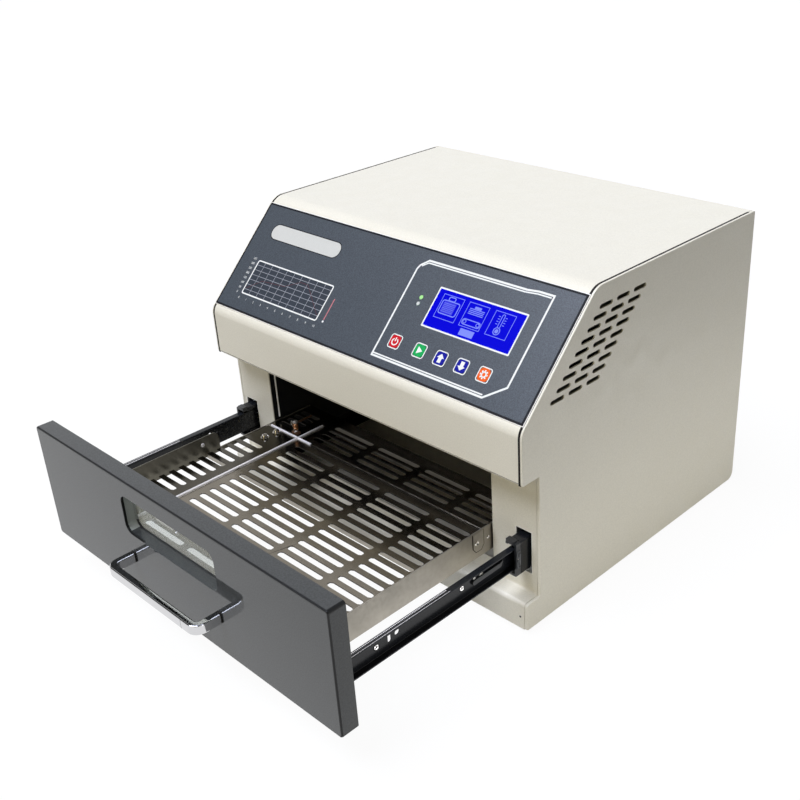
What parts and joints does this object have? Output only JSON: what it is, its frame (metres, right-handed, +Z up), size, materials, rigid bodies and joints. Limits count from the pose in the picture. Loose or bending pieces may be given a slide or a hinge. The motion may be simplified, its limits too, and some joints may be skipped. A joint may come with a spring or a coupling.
{
  "type": "reflow oven",
  "caption": "Desktop reflow oven: sheet-metal cabinet with a sloped control panel and a windowed pull-out drawer holding a slotted tray on ball-bearing slides, shown open.",
  "frame": {"origin": "bottom centre of the box round the whole oven with its drawer open, on the ground under the feet", "axes": "+Z up, the front with the drawer and the control panel faces -Y, +X to the right of someone facing it"},
  "size_m": [0.43, 0.5902, 0.305],
  "materials": {
    "ivory_paint": "ivory powder coat, fine texture",
    "slate_overlay": "dark slate printed polyester overlay",
    "graphite_paint": "glossy gunmetal paint",
    "stainless": "plain stainless sheet, a little heat tinted",
    "bright_steel": "bright polished steel",
    "chrome": "mirror chrome",
    "black_slide": "black coated steel, satin",
    "black_plastic": "black moulded plastic",
    "rubber": "black rubber",
    "clear_glass": "clear heat-resisting glass",
    "display_blue": "blue lit display under clear glass",
    "zinc_steel": "zinc-plated steel",
    "black_enamel": "black heat-resisting coat, matt",
    "ceramic_wool": "ceramic wool blanket",
    "quartz": "quartz tube",
    "copper_brown": "brown copper and brass",
    "circuit_board": "green circuit board",
    "lamination": "varnished steel laminations",
    "key_red": "red key cap",
    "key_green": "green key cap",
    "key_blue": "dark blue key cap",
    "key_orange": "orange key cap"
  },
  "bodies": {
    "cabinet": {"side_panel_left": "ivory_paint", "side_panel_right": "ivory_paint", "top_cover": "ivory_paint", "front_frame": "ivory_paint", "rear_panel": "ivory_paint", "base_pan": "ivory_paint", "foot_front_left": "rubber", "foot_front_right": "rubber", "foot_rear_left": "rubber", "foot_rear_right": "rubber", "slide_outer_left": "black_slide", "slide_outer_right": "black_slide", "slide_bracket_left": "black_slide", "slide_bracket_right": "black_slide", "slide_cap_left": "black_plastic", "slide_cap_right": "black_plastic", "power_inlet": "black_plastic", "switch_housing": "black_plastic", "chamber_liner": "black_enamel", "fan_frame": "black_enamel", "insulation_blanket": "ceramic_wool", "heater_tube_1": "quartz", "heater_tube_2": "quartz", "heater_tube_3": "quartz", "heater_tube_4": "quartz", "heater_bracket_left": "zinc_steel", "heater_bracket_right": "zinc_steel", "electronics_shelf": "zinc_steel", "solid_state_relay": "zinc_steel", "fan_guard": "zinc_steel", "reflector": "bright_steel", "control_overlay": "slate_overlay", "display_window": "display_blue", "control_board": "circuit_board", "power_board": "circuit_board", "transformer": "lamination"},
    "drawer": {"drawer_front": "graphite_paint", "window_gasket": "rubber", "window_glass": "clear_glass", "handle": "chrome", "tray_frame": "stainless", "main_grate": "stainless", "side_grate": "stainless", "rear_grate": "stainless", "support_rods": "bright_steel", "slide_inner_left": "black_slide", "slide_inner_right": "black_slide", "thermocouple": "copper_brown"},
    "cage_left": {"slide_cage_left": "black_slide"},
    "cage_right": {"slide_cage_right": "black_slide"},
    "lever_left": {"slide_lever_left": "black_plastic"},
    "lever_right": {"slide_lever_right": "black_plastic"},
    "rotor": {"fan_rotor": "black_enamel"},
    "rocker": {"switch_rocker": "black_plastic"},
    "red_key": {"key_red": "key_red"},
    "green_key": {"key_green": "key_green"},
    "up_key": {"key_up": "key_blue"},
    "down_key": {"key_down": "key_blue"},
    "orange_key": {"key_orange": "key_orange"}
  },
  "joints": [
    {"name": "drawer_slide", "type": "slide", "parent": "cabinet", "child": "drawer", "axis": [0, 1, 0], "range_m": [0, 0.2145]},
    {"name": "cage_left_slide", "type": "slide", "parent": "cabinet", "child": "cage_left", "axis": [0, 1, 0], "range_m": [0, 0.1075]},
    {"name": "cage_right_slide", "type": "slide", "parent": "cabinet", "child": "cage_right", "axis": [0, 1, 0], "range_m": [0, 0.1075]},
    {"name": "lever_left_pivot", "type": "hinge", "parent": "drawer", "child": "lever_left", "pos_m": [-0.1954, -0.0972, 0.0745], "axis": [1, 0, 0], "range_deg": [-8, 8], "stiffness_Nm_per_rad": 0.01},
    {"name": "lever_right_pivot", "type": "hinge", "parent": "drawer", "child": "lever_right", "pos_m": [0.1954, -0.0972, 0.0745], "axis": [1, 0, 0], "range_deg": [-8, 8], "stiffness_Nm_per_rad": 0.01},
    {"name": "fan_spin", "type": "hinge", "parent": "cabinet", "child": "rotor", "pos_m": [-0.11, 0.2773, 0.24], "axis": [0, 1, 0], "continuous": true},
    {"name": "rocker_tilt", "type": "hinge", "parent": "cabinet", "child": "rocker", "pos_m": [0.085, 0.2873, 0.236], "axis": [1, 0, 0], "range_deg": [-20, 0]},
    {"name": "red_key_press", "type": "slide", "parent": "cabinet", "child": "red_key", "axis": [0, 0.7071, -0.7071], "range_m": [0, 0.0005], "stiffness_N_per_m": 800},
    {"name": "green_key_press", "type": "slide", "parent": "cabinet", "child": "green_key", "axis": [0, 0.7071, -0.7071], "range_m": [0, 0.0005], "stiffness_N_per_m": 800},
    {"name": "up_key_press", "type": "slide", "parent": "cabinet", "child": "up_key", "axis": [0, 0.7071, -0.7071], "range_m": [0, 0.0005], "stiffness_N_per_m": 800},
    {"name": "down_key_press", "type": "slide", "parent": "cabinet", "child": "down_key", "axis": [0, 0.7071, -0.7071], "range_m": [0, 0.0005], "stiffness_N_per_m": 800},
    {"name": "orange_key_press", "type": "slide", "parent": "cabinet", "child": "orange_key", "axis": [0, 0.7071, -0.7071], "range_m": [0, 0.0005], "stiffness_N_per_m": 800}
  ],
  "couplings": [
    {"joint": "cage_left_slide", "follows": "drawer_slide", "ratio": 0.5},
    {"joint": "cage_right_slide", "follows": "drawer_slide", "ratio": 0.5}
  ]
}
